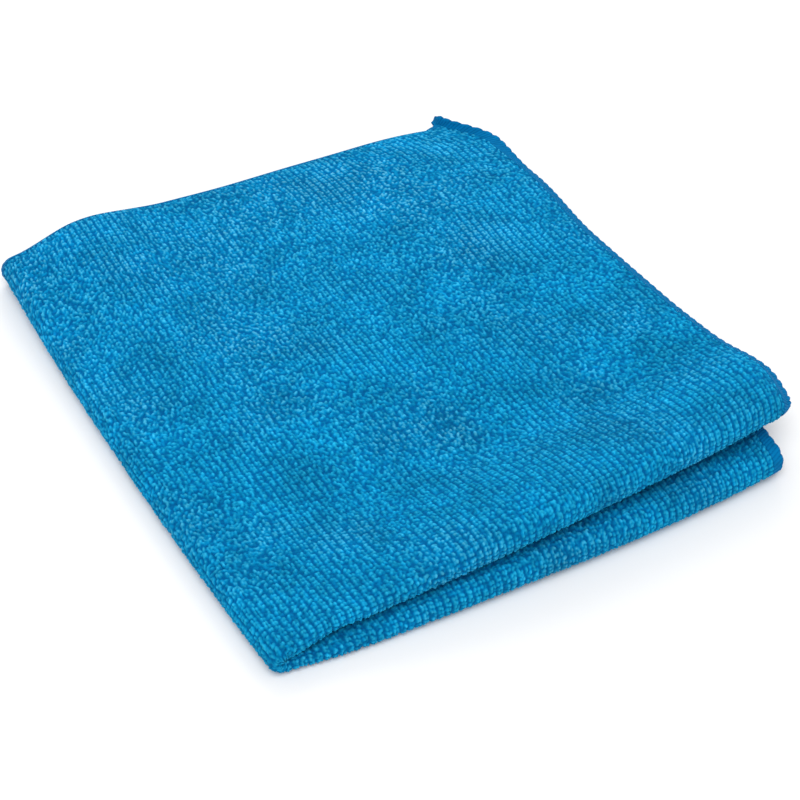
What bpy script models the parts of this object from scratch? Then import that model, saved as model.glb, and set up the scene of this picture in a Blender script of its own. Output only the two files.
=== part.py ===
"""A terry polishing cloth, folded in half at its front and then in half again at its left side.

Four layers lie on each other. The lower half is two layers joined by a rounded lip at the front,
and the upper half is the same again. The side fold goes round from the lower half to the upper
half, and it bends at two creases when the cloth is opened.

Metres, +Z up. The front folds run along X, the side fold runs along Y. While it is
built, x is counted from the side fold and y from the upper front fold's crest. The finished
part's origin is at the middle of the cloth's footprint, on the surface that it lies on.
"""

import math

import bmesh
import bpy

# The cloth as it was cut
CLOTH_WIDTH = 0.350
CLOTH_LENGTH = 0.400
FABRIC_THICKNESS = 0.0022
HEM_WIDTH = 0.0040

# How it is folded
LAYER_GAP = 0.0005
SIDE_FOLD_OFFSET = 0.0030
LIP_RADIUS = 0.0044
LIP_GROWTH_LENGTH = 0.105
LIP_FADE_LENGTH = 0.042
LOWER_LIP_REACH = 0.0070
SPRING_LIFT = 0.0070
BACK_CORNER_SETTLE = 0.0080
LOOSE_LIFT = 0.0040
LOOSE_LIFT_LENGTH = 0.035
CORNER_CURL = 0.0040
CORNER_CURL_LENGTH = 0.060

# How far its edges bow out between the corners, and how far two corners are drawn in
FRONT_BOW = 0.0030
RIGHT_BOW = 0.0035
BACK_BOW = 0.0030
FRONT_CORNER_DRAW = 0.0025
BACK_CORNER_DRAW = 0.0035

# Clearance between pieces that meet
PIECE_GAP = 0.0003

# How finely each stretch is divided
PANEL_COLUMNS = 12
PANEL_ROWS = 9
FADE_ROWS = 8
LIP_STEPS = 8
WRAP_STEPS = 8

TERRY_BLUE = (0.006, 0.238, 0.497, 1.0)
THREAD_BLUE = (0.003, 0.150, 0.420, 1.0)
TERRY_ROUGHNESS = 0.95
THREAD_ROUGHNESS = 0.70

# Worked out from the values above
HALF_THICKNESS = FABRIC_THICKNESS / 2
LAYER_PITCH = FABRIC_THICKNESS + LAYER_GAP
PAIR_FOLD_RADIUS = LAYER_PITCH
OUTER_FOLD_RADIUS = PAIR_FOLD_RADIUS + LAYER_PITCH / 2
STACK_MIDDLE = HALF_THICKNESS + OUTER_FOLD_RADIUS
QUARTER_TURN = math.pi / 2
SIDE_FOLD_ALLOWANCE = QUARTER_TURN * PAIR_FOLD_RADIUS
LOWER_WIDTH = CLOTH_WIDTH / 2 - SIDE_FOLD_OFFSET - SIDE_FOLD_ALLOWANCE
UPPER_WIDTH = CLOTH_WIDTH / 2 + SIDE_FOLD_OFFSET - SIDE_FOLD_ALLOWANCE
CREASE_DISTANCE = math.pi * PAIR_FOLD_RADIUS / 4

LOWER, UPPER = "lower", "upper"
OUTER, INNER = "outer", "inner"


def smooth(value):
    """A rise from 0 to 1 that is level at both ends."""
    value = min(max(value, 0.0), 1.0)
    return value * value * (3.0 - 2.0 * value)


def lip_radius(x):
    """Radius of the front fold, tight at the side fold and full further right."""
    tight = LAYER_PITCH / 2
    return tight + (LIP_RADIUS - tight) * smooth(x / LIP_GROWTH_LENGTH)


def depth(x):
    """Distance from the front fold's crest to the back edge."""
    return CLOTH_LENGTH / 2 - (QUARTER_TURN - 1.0) * lip_radius(x)


def half_spread(x, y):
    """Half the distance between the two layers of a pair, y behind its front crest."""
    radius = lip_radius(x)
    tight = LAYER_PITCH / 2
    return tight + (radius - tight) * (1.0 - smooth((y - radius) / LIP_FADE_LENGTH))


def front_reach(x):
    """How far the lower half stands out in front of the upper half."""
    return LOWER_LIP_REACH * smooth(x / LOWER_WIDTH)


def spring_lift(x, y):
    """How far the upper half stands off the lower one.

    It springs open towards its right edge, less so at the back, where it lies loosely instead.
    """
    across = (max(x, 0.0) / UPPER_WIDTH) ** 2
    along = (max(y, 0.0) / depth(x)) ** 2
    loose = LOOSE_LIFT * along * smooth(x / LOOSE_LIFT_LENGTH)
    return across * (SPRING_LIFT - BACK_CORNER_SETTLE * along) + loose


def corner_curl(x, y):
    """How far the top layer's free back corner turns up."""
    from_side = smooth(1.0 - (UPPER_WIDTH - x) / CORNER_CURL_LENGTH)
    from_back = smooth(1.0 - (depth(x) - y) / CORNER_CURL_LENGTH)
    return CORNER_CURL * from_side * from_back


def bow(share):
    """1 in the middle of an edge and 0 at its ends."""
    return 4.0 * share * (1.0 - share)


def laid_out(x, y, z):
    """A point of a squarely folded cloth, moved to where the bowed edges put it."""
    across = min(max(x / UPPER_WIDTH, 0.0), 1.0)
    along = min(max(y / depth(x), 0.0), 1.0)
    front_corner = FRONT_CORNER_DRAW * ((1.0 - across) * (1.0 - along)) ** 4
    back_corner = BACK_CORNER_DRAW * (across * along) ** 4
    new_x = x + RIGHT_BOW * bow(along) * across**3 + front_corner
    new_y = y + (BACK_BOW * along**3 - FRONT_BOW * (1.0 - along) ** 3) * bow(across)
    return (new_x, new_y + front_corner - back_corner, z)


def place_in_half(half, x, y, height):
    """A point of one half, with height counted from the middle of its pair of layers.

    Height is positive towards the pair's outer layer, the bottom or the top of the cloth.
    """
    if half == LOWER:
        middle = HALF_THICKNESS + half_spread(x, y)
        return laid_out(x, y - front_reach(x), middle - height)
    lower_top = HALF_THICKNESS + 2.0 * half_spread(x, y + front_reach(x))
    middle = lower_top + LAYER_PITCH + spring_lift(x, y) + half_spread(x, y)
    curl = corner_curl(x, y) if height > 0.0 else 0.0
    return laid_out(x, y, middle + height + curl)


def place_in_wrap(turn, y, height):
    """A point of the side fold: turn runs from a quarter below its middle to a quarter above."""
    radius = PAIR_FOLD_RADIUS + height
    return laid_out(-radius * math.cos(turn), y, STACK_MIDDLE + radius * math.sin(turn))


def layer_height(x, y, layer, offset):
    """Height of a layer's surface from the middle of its pair."""
    height = half_spread(x, y) + offset
    return height if layer == OUTER else -height


def lip_section(x, angle, offset):
    """Depth and height of a front fold's surface, a quarter turn to each side of its crest."""
    radius = lip_radius(x)
    y = radius - (radius + offset) * math.cos(angle)
    return y, (radius + offset) * math.sin(angle)


def steps(start, end, count):
    """count + 1 evenly spaced values."""
    return [start + (end - start) * number / count for number in range(count + 1)]


def material(name, colour, roughness):
    """A plain Principled material of the piece's own."""
    made = bpy.data.materials.new(name)
    made.use_nodes = True
    shader = made.node_tree.nodes["Principled BSDF"]
    shader.inputs["Base Color"].default_value = colour
    shader.inputs["Roughness"].default_value = roughness
    made.diffuse_color = colour
    return made


def shell(name, columns, rows, place, parent, is_hem=False):
    """A closed piece of cloth: its outer and inner faces over a grid, and its rim.

    columns and rows are the grid's values, and place turns (column, row, offset) into a point,
    where offset is counted from the middle of the fabric.
    """
    mesh = bmesh.new()
    faces = []
    for offset in (HALF_THICKNESS, -HALF_THICKNESS):
        faces.append([[mesh.verts.new(place(c, r, offset)) for r in rows] for c in columns])
    last_column, last_row = len(columns) - 1, len(rows) - 1
    for side in faces:
        for c in range(last_column):
            for r in range(last_row):
                mesh.faces.new(
                    (side[c][r], side[c + 1][r], side[c + 1][r + 1], side[c][r + 1])
                )
    rim = [(c, 0) for c in range(last_column)]
    rim += [(last_column, r) for r in range(last_row)]
    rim += [(c, last_row) for c in range(last_column, 0, -1)]
    rim += [(0, r) for r in range(last_row, 0, -1)]
    for (c0, r0), (c1, r1) in zip(rim, rim[1:] + rim[:1]):
        mesh.faces.new(
            (faces[0][c0][r0], faces[0][c1][r1], faces[1][c1][r1], faces[1][c0][r0])
        )
    bmesh.ops.recalc_face_normals(mesh, faces=mesh.faces)
    data = bpy.data.meshes.new(name)
    mesh.to_mesh(data)
    mesh.free()
    data.shade_smooth()
    data.set_sharp_from_angle(angle=math.radians(40))
    colour, roughness = (
        (THREAD_BLUE, THREAD_ROUGHNESS) if is_hem else (TERRY_BLUE, TERRY_ROUGHNESS)
    )
    data.materials.append(material(name, colour, roughness))
    piece = bpy.data.objects.new(name, data)
    bpy.context.collection.objects.link(piece)
    piece.parent = parent
    piece.matrix_parent_inverse = parent.matrix_world.inverted()
    return piece


def body(name, location, parent=None):
    """An empty that stands for a body, on the axis that the body turns about."""
    empty = bpy.data.objects.new(name, None)
    empty.empty_display_size = 0.01
    bpy.context.collection.objects.link(empty)
    empty.location = location
    if parent:
        empty.parent = parent
        empty.matrix_parent_inverse = parent.matrix_world.inverted()
    bpy.context.view_layer.update()
    return empty


def flat_rows(x, end):
    """Grid rows from just behind the lip to end, close together where the layers spread."""
    start = lip_radius(x) + PIECE_GAP
    fade_end = lip_radius(x) + LIP_FADE_LENGTH
    return steps(start, fade_end, FADE_ROWS) + steps(fade_end, end, PANEL_ROWS)[1:]


def panel_end(x):
    """Where the terry stops and the back hem starts."""
    return depth(x) - HEM_WIDTH


def half_layer(half, layer, name, columns, parent, is_hem=False):
    """One layer of a half, from its lip to its back hem, between two columns of x."""
    count = FADE_ROWS + PANEL_ROWS

    def place(x, row, offset):
        y = flat_rows(x, panel_end(x) - PIECE_GAP)[row]
        return place_in_half(half, x, y, layer_height(x, y, layer, offset))

    return shell(name, columns, range(count + 1), place, parent, is_hem)


def half_back_hem(half, layer, name, columns, parent):
    """The overlocked back edge of one layer of a half."""

    def place(x, share, offset):
        y = panel_end(x) + share * HEM_WIDTH
        return place_in_half(half, x, y, layer_height(x, y, layer, offset))

    return shell(name, columns, (0.0, 1.0), place, parent, True)


def half_right_hem(half, layer, name, columns, parent):
    """The overlocked right edge of one layer, from its lip to its back corner."""
    count = FADE_ROWS + PANEL_ROWS

    def place(x, row, offset):
        y = flat_rows(x, depth(x))[row]
        return place_in_half(half, x, y, layer_height(x, y, layer, offset))

    return shell(name, columns, range(count + 1), place, parent, True)


def half_lip(half, name, columns, parent, is_hem=False):
    """The rounded front fold of a half, between two columns of x."""

    def place(x, angle, offset):
        y, height = lip_section(x, angle, offset)
        return place_in_half(half, x, y, height)

    angles = steps(-QUARTER_TURN, QUARTER_TURN, LIP_STEPS)
    return shell(name, columns, angles, place, parent, is_hem)


def build_half(half, width, outer_name, inner_name, parent):
    """Two layers, the lip that joins them, and their overlocked edges."""
    terry = steps(PIECE_GAP, width - HEM_WIDTH - PIECE_GAP, PANEL_COLUMNS)
    edge = (width - HEM_WIDTH, width)
    for layer, name in ((OUTER, outer_name), (INNER, inner_name)):
        half_layer(half, layer, f"panel_{name}", terry, parent)
        half_back_hem(half, layer, f"back_hem_{name}", terry, parent)
        half_right_hem(half, layer, f"right_hem_{name}", edge, parent)
    half_lip(half, f"front_fold_{half}", terry, parent)
    half_lip(half, f"right_hem_{half}_lip", edge, parent, True)


def build_side_fold(parent):
    """The two layers, the lip and the back hems that go round the side fold."""
    turns = steps(-QUARTER_TURN, QUARTER_TURN, WRAP_STEPS)
    terry_rows = flat_rows(0.0, panel_end(0.0) - PIECE_GAP)
    hem_rows = (panel_end(0.0), depth(0.0))
    for layer in (OUTER, INNER):

        def place(turn, y, offset, layer=layer):
            return place_in_wrap(turn, y, layer_height(0.0, y, layer, offset))

        shell(f"side_fold_{layer}", turns, terry_rows, place, parent)
        shell(f"back_hem_wrap_{layer}", turns, hem_rows, place, parent, True)

    def place_lip(turn, angle, offset):
        y, height = lip_section(0.0, angle, offset)
        return place_in_wrap(turn, y, height)

    angles = steps(-QUARTER_TURN, QUARTER_TURN, LIP_STEPS)
    shell("side_fold_corner", turns, angles, place_lip, parent)


def footprint_shift():
    """The move that puts the origin at the middle of the cloth's footprint."""
    corners = [
        piece.matrix_world @ vertex.co
        for piece in bpy.data.objects
        if piece.type == "MESH"
        for vertex in piece.data.vertices
    ]
    xs = [corner.x for corner in corners]
    ys = [corner.y for corner in corners]
    return (-(min(xs) + max(xs)) / 2, -(min(ys) + max(ys)) / 2, 0.0)


def main():
    """Builds the whole folded cloth."""
    for old in list(bpy.data.objects):
        bpy.data.objects.remove(old, do_unlink=True)
    lower_crease = (-CREASE_DISTANCE, 0.0, STACK_MIDDLE - CREASE_DISTANCE)
    upper_crease = (-CREASE_DISTANCE, 0.0, STACK_MIDDLE + CREASE_DISTANCE)
    lower_half = body("lower_half_body", (0.0, 0.0, 0.0))
    side_fold = body("side_fold_body", lower_crease, lower_half)
    upper_half = body("upper_half_body", upper_crease, side_fold)
    build_half(LOWER, LOWER_WIDTH, "bottom", "lower_inner", lower_half)
    build_side_fold(side_fold)
    build_half(UPPER, UPPER_WIDTH, "top", "upper_inner", upper_half)
    lower_half.location = footprint_shift()


main()
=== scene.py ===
"""The finished surfaces of a terry polishing cloth that lies folded in quarters.

The cloth is one sheet with two coordinates of its own: `across` runs from the middle of the side
fold, negative into the lower half and positive into the upper one, and `along` runs from the crest
of the front folds, positive into the outer layers and negative into the inner ones. FoldedCloth
turns these into places in space, TerryPile gives the loops that stand on the sheet, and Overlock
gives the thread that binds its edges. Every piece is a stretch of that one sheet or of its edges.
"""

import logging
import math
from dataclasses import dataclass, field
from enum import Enum
from itertools import product

import bpy
import numpy as np
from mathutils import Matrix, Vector


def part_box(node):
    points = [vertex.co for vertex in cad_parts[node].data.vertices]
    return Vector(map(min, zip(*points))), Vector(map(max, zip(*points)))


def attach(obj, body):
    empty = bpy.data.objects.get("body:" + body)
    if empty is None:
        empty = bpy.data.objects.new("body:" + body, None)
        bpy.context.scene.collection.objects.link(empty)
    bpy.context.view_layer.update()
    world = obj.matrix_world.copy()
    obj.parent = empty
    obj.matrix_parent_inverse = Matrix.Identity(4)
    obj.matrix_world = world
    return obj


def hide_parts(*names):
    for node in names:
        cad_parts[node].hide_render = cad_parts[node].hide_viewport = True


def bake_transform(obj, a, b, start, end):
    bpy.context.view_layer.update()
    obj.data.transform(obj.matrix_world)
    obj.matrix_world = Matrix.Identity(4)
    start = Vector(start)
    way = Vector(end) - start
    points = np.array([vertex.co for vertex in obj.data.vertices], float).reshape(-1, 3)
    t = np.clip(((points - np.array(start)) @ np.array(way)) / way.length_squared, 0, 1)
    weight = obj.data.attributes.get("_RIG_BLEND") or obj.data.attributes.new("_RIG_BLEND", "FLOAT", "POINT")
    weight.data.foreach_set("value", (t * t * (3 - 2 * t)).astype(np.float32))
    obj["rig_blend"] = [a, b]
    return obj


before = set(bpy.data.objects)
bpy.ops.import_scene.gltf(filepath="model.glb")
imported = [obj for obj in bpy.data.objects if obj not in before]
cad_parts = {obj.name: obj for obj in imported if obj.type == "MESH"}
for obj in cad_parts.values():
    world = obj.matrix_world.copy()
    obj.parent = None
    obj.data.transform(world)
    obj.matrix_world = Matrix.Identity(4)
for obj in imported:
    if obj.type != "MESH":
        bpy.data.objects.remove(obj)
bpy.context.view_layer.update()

QUARTER_TURN = math.pi / 2
Array = np.ndarray
Colour = tuple[float, float, float]
log = logging.getLogger("polishing_cloth")


class Half(Enum):
    """Which half of the folded cloth a piece belongs to, with the sign of its `across`."""

    LOWER = -1.0
    UPPER = 1.0

    @property
    def body(self) -> str:
        """Name of the body that this half is."""
        return f"{self.name.lower()}_half"


class Layer(Enum):
    """Which layer of a half, with the sign of its `along`."""

    INNER = -1.0
    OUTER = 1.0


class Slot(Enum):
    """Names for the two material slots."""

    TERRY = "terry"
    THREAD = "overlock_thread"


def smooth(value: Array) -> Array:
    """A rise from 0 to 1 that is level at both ends."""
    value = np.clip(value, 0.0, 1.0)
    return value * value * (3.0 - 2.0 * value)


def arch(value: Array) -> Array:
    """A rise from 0 to 1 half way, and back."""
    return 4.0 * value * (1.0 - value)


@dataclass(frozen=True)
class SoftWaves:
    """A smooth random field, about -1 to 1, summed from plane waves.

    Attributes:
        wavelength: typical distance from crest to crest, in metres.
        seed: which random field.
        count: how many waves are summed.
    """

    wavelength: float
    seed: int
    count: int = 12

    def at(self, across: Array, along: Array) -> Array:
        """The field's values.

        Args:
            across: first coordinate, in metres.
            along: second coordinate, in metres.

        Returns:
            One value for each point.
        """
        draw = np.random.default_rng(self.seed)
        total = np.zeros(np.broadcast(across, along).shape)
        for _ in range(self.count):
            heading, phase = draw.uniform(0.0, math.tau, 2)
            length = self.wavelength * draw.uniform(0.7, 1.6)
            run = across * math.cos(heading) + along * math.sin(heading)
            total += np.sin(math.tau * run / length + phase)
        return total / math.sqrt(2.0 * self.count)


@dataclass(frozen=True)
class FoldedCloth:
    """The cut sheet, how it is folded, and how it lies.

    Lengths are in metres and turns in radians. A share is of the cloth's reach or depth.

    Attributes:
        origin: place in the frame of the point that the folded cloth is measured from.
        width: cut size across the side fold.
        length: cut size across the front folds.
        thickness: thickness of the fabric with its pile.
        hem: width of the overlocked edge.
    """

    origin: tuple[float, float]
    width: float = 0.350
    length: float = 0.400
    thickness: float = 0.0022
    hem: float = 0.0040
    layer_gap: float = 0.0005
    side_fold_offset: float = 0.0030

    # The front folds: tight at the side fold and full further right, the lower one further out.
    full_lip_radius: float = 0.0044
    lip_growth: float = 0.090
    lip_fade: float = 0.042
    lower_lip_reach: float = 0.0070
    lip_squeeze: float = 0.55

    # How they part beside the side fold: backwards and upwards, and over what lengths.
    parting: tuple[float, float] = (0.0028, 0.0014)
    parting_start: float = 0.018
    parting_length: float = 0.095
    parting_depth: float = 0.055
    lower_parting: float = 0.0008

    # How the upper half springs off the lower one, and the waves, which grow in equal steps from
    # nothing at the lowest layer to their full height at the top one.
    spring_lift: float = 0.0068
    back_corner_settle: float = 0.0079
    loose_lift: float = 0.0040
    loose_lift_length: float = 0.035
    front_lift: float = 0.0028
    front_lift_place: float = 0.028
    front_lift_width: float = 0.040
    lip_sag: float = 0.0036
    wave_height: float = 0.0006
    wave_step: float = 1.0 / 6.0
    waves: SoftWaves = SoftWaves(wavelength=0.055, seed=4)

    # How the upper right hem stands up at the back corner, and rolls down elsewhere.
    hem_turn: float = 1.25
    hem_turn_radius: float = 0.0012
    hem_turn_length: float = 0.045
    hem_roll: float = 0.50
    overhang: float = 0.0014

    # How the edges bow outwards, seen from above, and over what shares of them.
    front_bow: float = 0.0032
    left_bow: float = 0.0006
    right_bow: float = 0.0051
    right_back_bow: float = 0.0038
    right_back_place: tuple[float, float] = (0.55, 0.22)
    bow_start: float = 0.026
    bow_end: float = 0.12
    back_bow: float = 0.0048
    back_spread: float = 0.0055
    spread_least: float = 0.60
    spread_growth: float = 0.14
    spread_end: float = 0.60

    # How far the corners are drawn in, and how sharply.
    front_corner_draw: float = 0.0025
    front_corner_sharpness: int = 4
    left_corner_draw: float = 0.0015
    left_corner_sharpness: int = 6
    back_corner_draw: tuple[float, float] = (0.0040, 0.0030)
    back_corner_sharpness: int = 9

    # Where the stack is pressed thinner or puffed thicker, as a share of its height.
    corner_length: float = 0.045
    edge_roll: float = 0.0085
    back_squeeze: float = 0.30
    right_squeeze: float = 0.15
    puff: float = 0.42
    puff_reach: tuple[float, float] = (0.020, 0.060)
    puff_length: float = 0.075

    # How the looped face, outside a fold, is longer than the middle of the fabric.
    face_height: float = 0.0012
    face_fade: float = 0.040

    @classmethod
    def in_frame(cls) -> "FoldedCloth":
        """The cloth where the frame's solids lie."""
        cloth = cls((0.0, 0.0))
        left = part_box("side_fold_outer")[0].x + cloth.stack_radius + cloth.half_thickness
        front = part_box("side_fold_corner")[0].y + cloth.half_thickness - cloth.front_corner_draw
        return cls((left, front))

    @property
    def half_thickness(self) -> float:
        """Half the fabric's thickness."""
        return self.thickness / 2

    @property
    def pitch(self) -> float:
        """Distance from the middle of one layer to the middle of the next."""
        return self.thickness + self.layer_gap

    @property
    def tight(self) -> float:
        """Radius of the front fold where it is pressed flat."""
        return self.pitch / 2

    @property
    def stack_radius(self) -> float:
        """Radius of the side fold's outer layer, at the middle of the fabric."""
        return 1.5 * self.pitch

    @property
    def stack_middle(self) -> float:
        """Height of the middle of the four layers at the side fold."""
        return self.half_thickness + self.stack_radius

    @property
    def allowance(self) -> float:
        """Value of `across` where the side fold ends and a half starts."""
        return QUARTER_TURN * self.pitch

    @property
    def reach(self) -> float:
        """How far the upper half reaches from where the side fold ends."""
        return self.edge(Half.UPPER) - self.allowance

    @property
    def half_length(self) -> float:
        """Value of `along` at the back edge."""
        return self.length / 2

    def edge(self, half: Half) -> float:
        """How far a half reaches from the middle of the side fold, measured on the sheet."""
        return self.width / 2 + half.value * self.side_fold_offset

    def lip_radius(self, x: Array) -> Array:
        """Radius of the front fold, tight at the side fold and full further right."""
        return self.tight + (self.full_lip_radius - self.tight) * smooth(x / self.lip_growth)

    def lip_reach(self, across: Array) -> Array:
        """Value of `along` where the front fold ends and the flat layer starts."""
        x = np.maximum(np.abs(across) - self.allowance, 0.0)
        return QUARTER_TURN * self.lip_radius(x)

    def depth(self, x: Array) -> Array:
        """Distance from the front fold's crest to the back edge."""
        return self.half_length - (QUARTER_TURN - 1.0) * self.lip_radius(x)

    def half_spread(self, x: Array, y: Array) -> Array:
        """Half the distance between the two layers of a half, y behind its crest."""
        radius = self.lip_radius(x)
        return self.tight + (radius - self.tight) * (1.0 - smooth((y - radius) / self.lip_fade))

    def lift(self, x: Array, y: Array) -> Array:
        """How far the upper half stands off the lower one."""
        across = (x / self.reach) ** 2
        along = (np.maximum(y, 0.0) / self.depth(x)) ** 2
        loose = self.loose_lift * along * smooth(x / self.loose_lift_length)
        front = smooth(1.0 - np.abs(y - self.front_lift_place) / self.front_lift_width)
        sag = self.lip_sag * across**2 * (1.0 - smooth(y / self.front_lift_place))
        loose = loose + self.front_lift * across**2 * front - sag
        return across * (self.spring_lift - self.back_corner_settle * along) + loose

    def turned_hem(self, x: Array, y: Array, offset: Array, outer: Array) -> tuple[Array, Array]:
        """How the upper half's right hem rolls down, and stands up at the top layer's back corner.

        Args:
            x: distance from where the side fold ends.
            y: distance from the front fold's crest.
            offset: height above the middle of the fabric, positive upwards.
            outer: whether a point is on the top layer.

        Returns:
            How far its points move to the right, and how far up.
        """
        beyond = np.maximum(x - (self.reach - self.hem), 0.0)
        standing = smooth(1.0 - (self.depth(x) - y) / self.hem_turn_length) * outer
        rolled = self.hem_roll * smooth((y - self.full_lip_radius) / self.lip_fade)
        most = self.hem_turn * standing - rolled * (1.0 - standing)
        angle = np.minimum(beyond / self.hem_turn_radius, np.abs(most))
        straight = beyond - self.hem_turn_radius * angle
        right = self.hem_turn_radius * np.sin(angle) + straight * np.cos(angle) - beyond
        up = self.hem_turn_radius * (1.0 - np.cos(angle)) + straight * np.sin(angle)
        right = right - offset * np.sin(angle) * np.sign(most)
        return right, up * np.sign(most) - offset * (1.0 - np.cos(angle))

    def stretch(self, x: Array, y: Array) -> Array:
        """How much taller the stack is: puffed at the back of the side fold, less at its edges."""
        from_side, from_back = self.reach - x, self.depth(np.maximum(x, 0.0)) - y
        back = np.clip(1.0 - from_back / self.edge_roll, 0.0, 1.0) ** 2
        right = np.clip(1.0 - from_side / self.edge_roll, 0.0, 1.0) ** 2
        corner = smooth(from_side / self.edge_roll), smooth(from_back / self.corner_length)
        near, far = self.puff_reach
        puff = self.puff * smooth((far - x) / (far - near)) * smooth(1.0 - from_back / self.puff_length)
        back_edge = 1.0 - self.back_squeeze * back * corner[0]
        return (1.0 + puff) * back_edge * (1.0 - self.right_squeeze * right * corner[1])

    def lips_apart(self, x: Array, y: Array) -> Array:
        """How far the front folds part beside the side fold, where the cloth is stiffest, 0 to 1."""
        beside = smooth(x / self.parting_start) * (1.0 - smooth(x / self.parting_length))
        return beside * (1.0 - smooth(y / self.parting_depth))

    def lip_end(self, x: Array, y: Array) -> Array:
        """How much slimmer the front fold is, towards its free right end."""
        end = np.clip(1.0 - (self.reach - x) / self.edge_roll, 0.0, 1.0) ** 2
        behind = 1.0 - smooth((y - self.lip_radius(x)) / self.lip_fade)
        return 1.0 - self.lip_squeeze * end * behind

    def face_coordinates(self, across: Array, along: Array) -> tuple[Array, Array]:
        """The sheet's coordinates stretched round the folds, as the looped face is.

        Args:
            across: distance from the middle of the side fold, measured on the sheet.
            along: distance from the crest of the front folds, measured on the sheet.

        Returns:
            Both coordinates, such that a loop on the outside of a fold keeps its size.
        """
        radius = self.lip_radius(np.maximum(np.abs(across) - self.allowance, 0.0))
        angle = np.clip(along / radius, -QUARTER_TURN, QUARTER_TURN)
        turn = np.clip(across / self.pitch, -QUARTER_TURN, QUARTER_TURN)
        outer = smooth(1.0 + (along + QUARTER_TURN * radius) / self.face_fade)
        return across + turn * outer * (self.tight + self.face_height), along + angle * self.face_height

    def bowed_across(self, across: Array, along: Array, y: Array) -> Array:
        """How far points move to the right, for the left and right edges' bows and draws.

        Args:
            across: share of the way from the side fold to the right edge.
            along: share of the way from the front folds to the back edge.
            y: distance from the front fold's crest.

        Returns:
            The distance that each point moves.
        """
        place, growth = self.right_back_place
        bow = self.right_bow + self.right_back_bow * smooth((along - place) / growth)
        start = smooth((y + self.lower_lip_reach) / self.bow_start)
        right = bow * start * smooth((1.0 - along) / self.bow_end) * across**3
        corner = self.back_corner_draw[0] * (across * along) ** self.back_corner_sharpness
        left = self.left_corner_draw * ((1.0 - across) * along) ** self.left_corner_sharpness
        return right + left - self.left_bow * arch(along) * (1.0 - across) ** 3 - corner

    def bowed_along(self, across: Array, along: Array) -> Array:
        """How far points move backwards, for the front and back edges' bows and draws."""
        bow = self.back_bow * along**3 - self.front_bow * (1.0 - along) ** 3
        growth = (1.0 - self.spread_least) * smooth(across / self.spread_growth)
        fading = 1.0 - smooth(across / self.spread_end)
        spread = self.back_spread * (self.spread_least + growth) * along**3 * fading
        corner = self.back_corner_draw[1] * (across * along) ** self.back_corner_sharpness
        return bow * arch(across) + spread - corner

    def laid_out(self, x: Array, y: Array, z: Array) -> Array:
        """Points of a squarely folded cloth, moved to where its bowed edges put them."""
        across = np.clip(x / self.reach, 0.0, 1.0)
        along = np.clip(y / self.depth(np.maximum(x, 0.0)), 0.0, 1.0)
        near = ((1.0 - across) * (1.0 - along)) ** self.front_corner_sharpness
        new_x = x + self.bowed_across(across, along, y) + self.front_corner_draw * near
        new_y = y + self.bowed_along(across, along) + self.front_corner_draw * near
        new_z = z * self.stretch(x, y)
        return np.stack([new_x + self.origin[0], new_y + self.origin[1], new_z], axis=-1)

    def place(self, across: Array, along: Array, offset: Array) -> Array:
        """Places in the frame of points on, or off, the sheet.

        Args:
            across: distance from the middle of the side fold, measured on the sheet.
            along: distance from the crest of the front folds, measured on the sheet.
            offset: height above the middle of the fabric, positive on the face that shows.

        Returns:
            An array of points, with x, y and z on its last axis.
        """
        across, along, offset = np.broadcast_arrays(across, along, offset)
        x = np.maximum(np.abs(across) - self.allowance, 0.0)
        radius = self.lip_radius(x)
        angle = np.clip(along / radius, -QUARTER_TURN, QUARTER_TURN)
        in_lip = np.abs(along) < QUARTER_TURN * radius
        y_flat = np.abs(along) - (QUARTER_TURN - 1.0) * radius
        slim = self.lip_end(x, np.where(in_lip, radius, y_flat))
        y = np.where(in_lip, radius - (radius + offset) * slim * np.cos(angle), y_flat)
        flat_height = np.sign(along) * (self.half_spread(x, y_flat) + offset)
        height = np.where(in_lip, (radius + offset) * np.sin(angle), flat_height) * slim
        level = np.clip(height / self.half_spread(x, y), -1.0, 1.0) * self.wave_step

        apart = self.lips_apart(x, y)
        reach = self.lower_lip_reach * smooth(x / (self.edge(Half.LOWER) - self.allowance))
        reach = reach + self.lower_parting * apart
        back, up_apart = self.parting[0] * apart, self.parting[1] * apart
        wave = self.wave_height * self.waves.at(x, y) * smooth(x / self.loose_lift_length)
        lower_z = self.half_thickness + self.half_spread(x, y) - height
        lower = self.laid_out(x, y - reach, lower_z + wave * (self.wave_step - level))
        below = self.half_thickness + 2.0 * self.half_spread(x, y + back + reach)
        lift = self.lift(x, y) + up_apart
        upper_z = below + self.pitch + lift + self.half_spread(x, y) + height
        right, up = self.turned_hem(x, y, np.sign(height) * offset, height > 0.0)
        right = right + self.overhang * (x / self.reach) ** 3
        upper_z = upper_z + up + wave * (1.0 - self.wave_step + level)
        upper = self.laid_out(x + right, y + back, upper_z)
        turn = np.clip(across / self.pitch, -QUARTER_TURN, QUARTER_TURN)
        round_it = self.pitch + height
        wrap = self.laid_out(
            -round_it * np.cos(turn), y, self.stack_middle + round_it * np.sin(turn)
        )
        flat = np.where((across > 0.0)[..., None], upper, lower)
        return np.where((np.abs(across) < self.allowance)[..., None], wrap, flat)


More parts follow.
